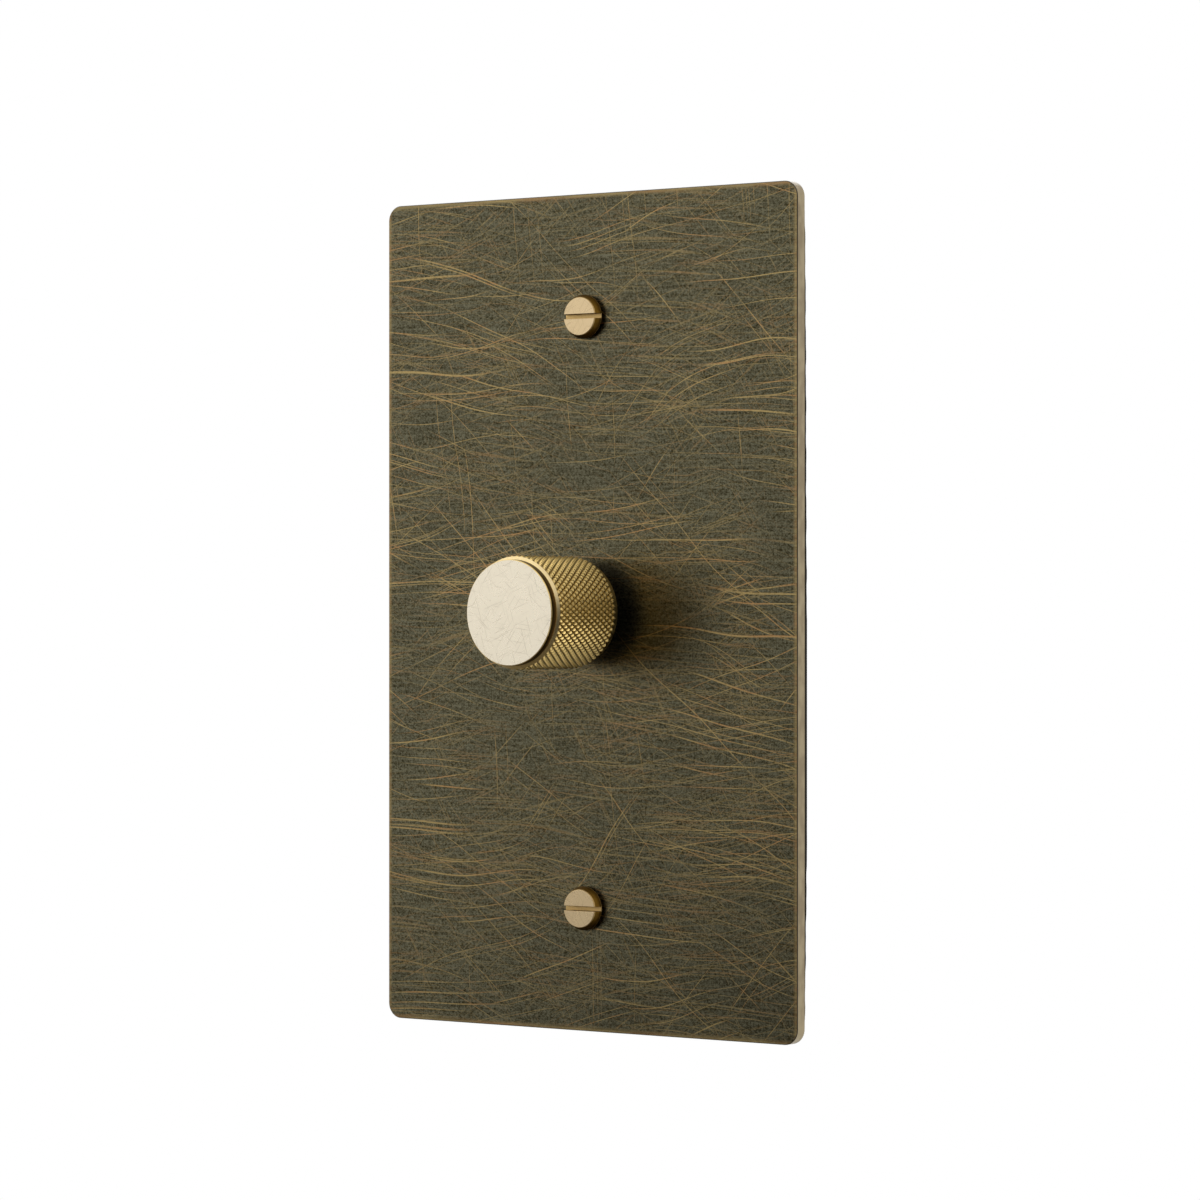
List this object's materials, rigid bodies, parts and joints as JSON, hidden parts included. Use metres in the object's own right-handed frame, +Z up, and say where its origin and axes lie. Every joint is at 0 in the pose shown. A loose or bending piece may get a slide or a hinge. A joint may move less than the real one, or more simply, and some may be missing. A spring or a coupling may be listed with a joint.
{
  "type": "rotary dimmer switch",
  "caption": "Rotary dimmer switch with a rectangular dark bronze plate, a knurled brass push knob and slotted brass screws, on a strap with a rear module.",
  "frame": {"origin": "on the knob's axis, at the wall's surface, which is the back face of the gasket", "axes": "+Y into the wall, +Z up the plate, +X to the right as the plate is seen on the wall"},
  "size_m": [0.0712, 0.0491, 0.118],
  "materials": {
    "plate_bronze": "brushed dark bronze with scratches",
    "gasket_rubber": "matt",
    "knob_brass": "turned and knurled, satin",
    "screw_brass": "turned, satin",
    "insert_nylon": "natural moulded",
    "plated_steel": "zinc plated",
    "strap_steel": "zinc plated sheet",
    "earth_green": "green dyed plating",
    "bush_nickel": "nickel plated",
    "case_black": "fine moulded texture",
    "board_green": "solder mask",
    "control_grey": "moulded",
    "control_white": "moulded",
    "contact_bronze": "rolled sheet",
    "wafer_brown": "pressed laminate",
    "terminal_grey": "moulded",
    "terminal_brass": "machined",
    "sink_aluminium": "mill finish",
    "package_black": "moulded",
    "film_yellow": "moulded box",
    "can_sleeve": "shrunk sleeve",
    "choke_ferrite": "sintered"
  },
  "bodies": {
    "switch_base": {"face_plate": "plate_bronze", "wall_gasket": "gasket_rubber", "fixing_screws": "screw_brass", "mounting_strap": "strap_steel", "earth_screw": "earth_green", "bush": "bush_nickel", "lock_washer": "plated_steel", "bush_nut": "bush_nickel", "case_front": "case_black", "case_rear": "case_black", "case_screws": "plated_steel", "circuit_board": "board_green", "pot_housing": "control_grey", "track_wafer": "wafer_brown", "control_pins": "plated_steel", "switch_housing": "control_grey", "fixed_contacts": "contact_bronze", "return_spring": "plated_steel", "terminal_block": "terminal_grey", "terminal_clamps": "terminal_brass", "terminal_screws": "plated_steel", "heat_sink": "sink_aluminium", "power_transistors": "package_black", "film_capacitor": "film_yellow", "supply_capacitor": "can_sleeve", "controller_chip": "package_black", "choke": "choke_ferrite"},
    "control_rotor": {"rotor": "control_white", "wiper": "contact_bronze"},
    "knob_shaft": {"knob": "knob_brass", "knob_insert": "insert_nylon", "shaft": "plated_steel", "retaining_clip": "plated_steel"},
    "push_plunger": {"switch_plunger": "control_white", "moving_contact": "contact_bronze"}
  },
  "joints": [
    {"name": "knob_turn", "type": "hinge", "parent": "switch_base", "child": "control_rotor", "pos_m": [0, 0, 0], "axis": [0, 1, 0], "range_deg": [-135, 135]},
    {"name": "knob_push", "type": "slide", "parent": "control_rotor", "child": "knob_shaft", "axis": [0, 1, 0], "range_m": [0, 0.0015], "stiffness_N_per_m": 2000, "springref_m": -0.0005},
    {"name": "plunger_push", "type": "slide", "parent": "switch_base", "child": "push_plunger", "axis": [0, 1, 0], "range_m": [0, 0.0015], "deforming": ["return_spring"]}
  ],
  "couplings": [
    {"joint": "plunger_push", "follows": "knob_push", "ratio": 1}
  ]
}
